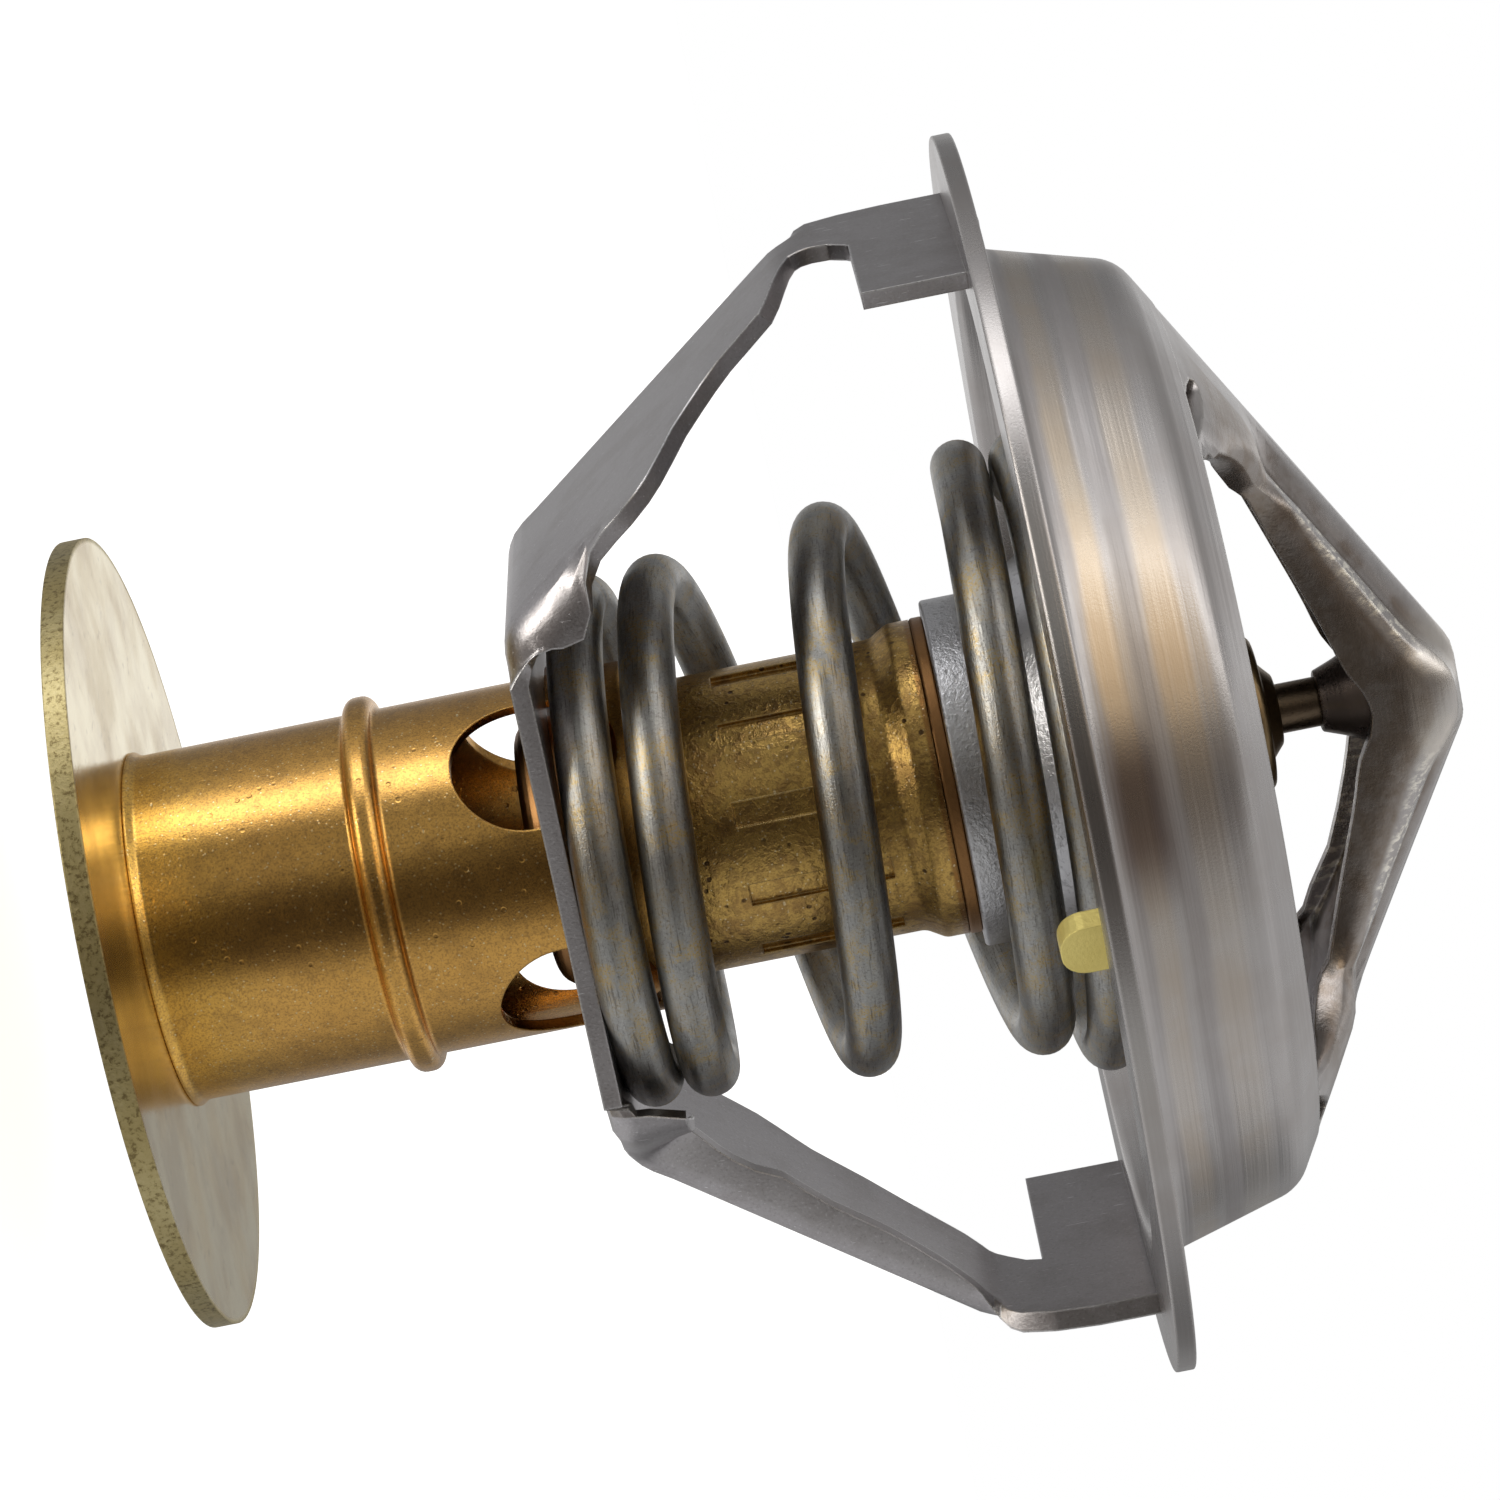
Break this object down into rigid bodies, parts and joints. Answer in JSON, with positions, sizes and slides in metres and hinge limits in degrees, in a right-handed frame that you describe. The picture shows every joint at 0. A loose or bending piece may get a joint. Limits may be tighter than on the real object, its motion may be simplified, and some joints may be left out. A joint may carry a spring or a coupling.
{
  "type": "engine thermostat",
  "caption": "Engine thermostat: flanged steel housing with a bridge, stamped lower frame, sprung main valve on a wax element, windowed sleeve and a bypass disc.",
  "frame": {"origin": "centre of the underside of the bypass disc, which is the bottom of the part", "axes": "+Z along the valve axis from the bypass disc towards the bridge; X across the flange through the two arms of the lower frame; Y at right angles to them"},
  "size_m": [0.065, 0.065, 0.0695],
  "materials": {
    "housing_steel": "satin, drawn sheet with brownish stains",
    "frame_steel": "satin, stamped sheet with bright sheared edges",
    "piston_steel": "polished, browned",
    "valve_steel": "grainy satin",
    "sleeve_brass": "speckled satin, copper-gold",
    "disc_brass": "polished with fine scratches",
    "element_copper": "drawn copper, satin",
    "wax": "waxy",
    "boot_rubber": "moulded",
    "washer_plastic": "smooth",
    "guide_brass": "turned, browned",
    "spring_steel": "dark drawn wire with olive stains",
    "pin_brass": "bright brass"
  },
  "bodies": {
    "housing": {"housing": "housing_steel", "lower_frame": "frame_steel", "piston": "piston_steel"},
    "valve": {"main_valve": "valve_steel", "bypass_sleeve": "sleeve_brass", "bypass_disc": "disc_brass", "element_cup": "element_copper", "wax_charge": "wax", "rubber_boot": "boot_rubber", "seal_washer": "washer_plastic", "element_guide": "guide_brass", "main_spring": "spring_steel"},
    "jiggle": {"jiggle_pin": "pin_brass"}
  },
  "joints": [
    {"name": "valve_slide", "type": "slide", "parent": "housing", "child": "valve", "axis": [0, 0, -1], "range_m": [0, 0.0085], "stiffness_N_per_m": 5000, "springref_m": -0.001, "deforming": ["main_spring"]},
    {"name": "jiggle_slide", "type": "slide", "parent": "valve", "child": "jiggle", "axis": [0, 0, 1], "range_m": [0, 0.0015]}
  ]
}
